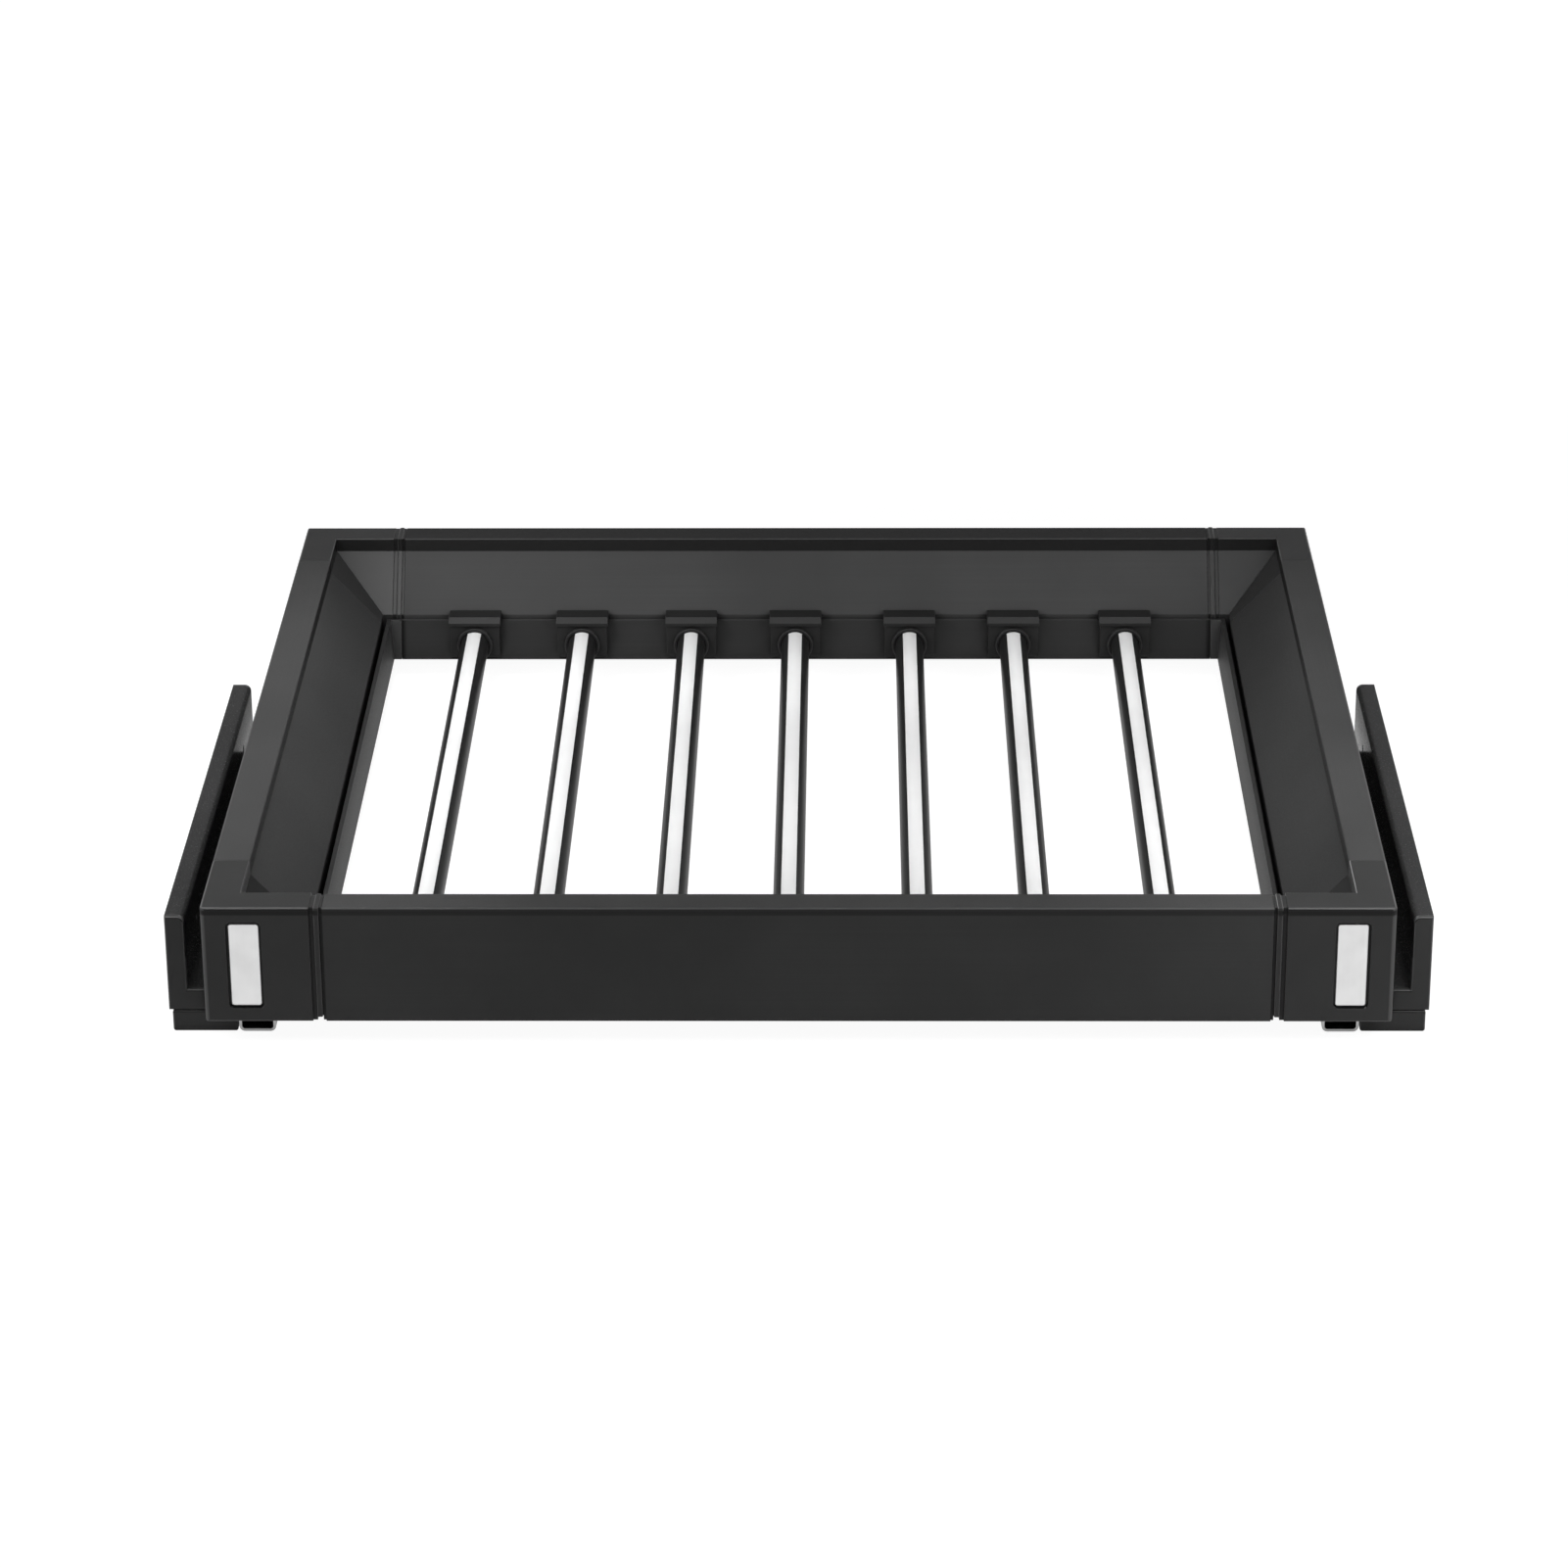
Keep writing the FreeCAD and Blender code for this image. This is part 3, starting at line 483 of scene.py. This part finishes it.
def dress_nodes():
    """Gives each piece its slot's material, or the one that it has of its own."""
    for part in frame["record"]["subparts"]:
        node = part["node"]
        materials = frame["nodes"][node].data.materials
        materials.clear()
        materials.append(OWN_LOOKS.get(node, LOOKS[part["material_slot"]]))


def shown_ray(tree):
    """1 for camera, glossy and transmission rays, which see the white background."""
    path = tree.nodes.new("ShaderNodeLightPath")
    total = path.outputs["Is Camera Ray"]
    for name in ("Is Glossy Ray", "Is Transmission Ray"):
        inputs = {0: total, 1: path.outputs[name]}
        node = add_node(tree, "ShaderNodeMath", inputs, operation="ADD", use_clamp=True)
        total = node.outputs["Value"]
    return total


def mix_by_ray(tree, lit, shown):
    """One shader for the light that falls on the object, and another for what shows."""
    return add_node(tree, "ShaderNodeMixShader", {0: shown_ray(tree), 1: lit, 2: shown}).outputs["Shader"]


def floor_glow(tree):
    """Strength of the shown floor's glow, which rises to white away from the rack."""
    place = tree.nodes.new("ShaderNodeTexCoord").outputs["Object"]
    away = add_node(tree, "ShaderNodeVectorMath", {0: place}, operation="LENGTH").outputs["Value"]
    return map_range(tree, away, *FLOOR_GLOW_REACH, *SHOWN_FLOOR_GLOW)


def floor_material():
    """Pale floor; what shows of it is near white and keeps a faint shadow."""
    material = bpy.data.materials.new("floor_white")
    material.use_nodes = True
    tree = material.node_tree
    tree.nodes.clear()
    lit = add_node(tree, "ShaderNodeBsdfDiffuse", {"Color": FLOOR_COLOR})
    shade = add_node(tree, "ShaderNodeBsdfDiffuse", {"Color": SHOWN_FLOOR_COLOR})
    glow = add_node(tree, "ShaderNodeEmission", {"Color": WHITE, "Strength": floor_glow(tree)})
    shown = add_node(tree, "ShaderNodeAddShader", {0: shade.outputs["BSDF"], 1: glow.outputs["Emission"]})
    surface = mix_by_ray(tree, lit.outputs["BSDF"], shown.outputs["Shader"])
    add_node(tree, "ShaderNodeOutputMaterial", {"Surface": surface})
    return material


def make_floor():
    """Square floor under the rack, which isn't part of the object."""
    half = FLOOR_SIZE / 2
    corners = [(-half, -half, 0), (half, -half, 0), (half, half, 0), (-half, half, 0)]
    mesh = bpy.data.meshes.new("floor")
    mesh.from_pydata(corners, [], [(0, 1, 2, 3)])
    mesh.materials.append(floor_material())
    floor = bpy.data.objects.new("floor", mesh)
    bpy.context.scene.collection.objects.link(floor)


def backdrop_color(tree):
    """White backdrop that turns to a grey ceiling with height."""
    direction = tree.nodes.new("ShaderNodeTexCoord").outputs["Generated"]
    height = add_node(tree, "ShaderNodeSeparateXYZ", {"Vector": direction}).outputs["Z"]
    inputs = {"Factor": map_range(tree, height, *BACKDROP_TOP), "A": WHITE, "B": OVERHEAD}
    return add_node(tree, "ShaderNodeMix", inputs, data_type="RGBA").outputs["Result"]


def make_world():
    """The backdrop for what shows, and a soft grey light from all round."""
    world = bpy.data.worlds.new("studio")
    bpy.context.scene.world = world
    world.use_nodes = True
    tree = world.node_tree
    tree.nodes.clear()
    soft = add_node(tree, "ShaderNodeBackground", {"Color": AMBIENT})
    shown = add_node(tree, "ShaderNodeBackground", {"Color": backdrop_color(tree)})
    surface = mix_by_ray(tree, soft.outputs["Background"], shown.outputs["Background"])
    add_node(tree, "ShaderNodeOutputWorld", {"Surface": surface})


def make_softbox(name, place, target, size, power, spread=180.0):
    """Rectangular soft light that faces a target, unseen by the camera; a grid narrows its spread."""
    data = bpy.data.lights.new(name, "AREA")
    data.shape = "RECTANGLE"
    data.size, data.size_y = size
    data.energy = power
    data.spread = math.radians(spread)
    light = bpy.data.objects.new(name, data)
    light.location = place
    light.rotation_euler = (Vector(target) - Vector(place)).to_track_quat("-Z", "Y").to_euler()
    light.visible_camera = False
    bpy.context.scene.collection.objects.link(light)


def make_pair(name, place, target, size, powers):
    """Two soft lights that mirror each other; place and target are the right one's."""
    for side, sign, power in zip(("left", "right"), (-1, 1), powers):
        own_place, own_target = ((sign * x, y, z) for x, y, z in (place, target))
        make_softbox(f"{name}_{side}", own_place, own_target, size, power)


def make_lights():
    """Soft lights in metres and watts, over the rack and from all sides."""
    # A wide key over the front, and a strip that faces the back bar's slope
    make_softbox("key", place=(0, -0.35, 0.45), target=(0, -0.35, 0), size=(1.3, 0.3), power=1.0)
    make_softbox("strip", place=(0, -0.12, 0.2), target=(0, 0.21, 0.045), size=(0.9, 0.08), power=0.7)

    # Near lights on the front corners, the right one with a second lamp
    corner = {"place": (0.27, -0.22, 0.21), "target": (0.27, -0.2, 0), "size": (0.12, 0.12)}
    make_pair("near", **corner, powers=(0.24, 0.24))
    right_corner = {"place": (0.42, -0.42, 0.28), "target": (0.25, -0.15, 0.06), "size": (0.2, 0.2)}
    make_softbox("front_right", **right_corner, power=0.5)

    # Fills for the front, the back and the sides
    make_softbox("front_fill", place=(-0.3, -1.9, 0.5), target=(0, 0, 0.04), size=(2.0, 0.8), power=3.0)
    make_softbox("back_fill", place=(0.3, 1.7, 0.16), target=(0, 0.24, 0.035), size=(2.0, 0.2), power=1.6)
    make_pair("fill", place=(0.9, -0.3, 0.6), target=(0, -0.1, 0.04), size=(0.6, 0.6), powers=(3.6, 2.2))

    # Narrow lights from above on the front rim and on the far half of the rods
    rim = {"place": (0, -0.233, 0.3), "target": (0, -0.233, 0), "size": (0.4, 0.02)}
    make_softbox("front_rim", **rim, power=0.012, spread=20.0)
    rods = {"place": (0, 0.12, 0.3), "target": (0, 0.12, 0), "size": (0.36, 0.06)}
    make_softbox("rods", **rods, power=0.03, spread=30.0)

    # Small lights on the slopes of the back corners
    back = {"place": (0.22, 0.06, 0.25), "target": (0.225, 0.209, 0.0425), "size": (0.06, 0.06)}
    make_pair("back", **back, powers=(0.33, 0.14))


def make_camera():
    """Camera with the photograph's place, turn and angle of view."""
    pitch = math.radians(CAMERA_PITCH)
    yaw = math.radians(CAMERA_YAW)
    roll = math.radians(CAMERA_ROLL)
    level = Vector((math.cos(yaw), math.sin(yaw), 0))
    ahead = Vector((-math.sin(yaw) * math.cos(pitch), math.cos(yaw) * math.cos(pitch), -math.sin(pitch)))
    above = level.cross(ahead)
    right = level * math.cos(roll) + above * math.sin(roll)
    up = above * math.cos(roll) - level * math.sin(roll)
    data = bpy.data.cameras.new("camera")
    data.sensor_width = SENSOR_WIDTH
    data.lens = SENSOR_WIDTH * FOCAL_PIXELS / PHOTO_PIXELS
    camera = bpy.data.objects.new("camera", data)
    turn = Matrix((right, up, -ahead)).transposed().to_4x4()
    camera.matrix_world = Matrix.Translation(CAMERA_PLACE) @ turn
    bpy.context.scene.collection.objects.link(camera)
    bpy.context.scene.camera = camera


dress_nodes()
make_floor()
make_world()
make_lights()
make_camera()
bpy.context.scene.view_settings.view_transform = "Standard"
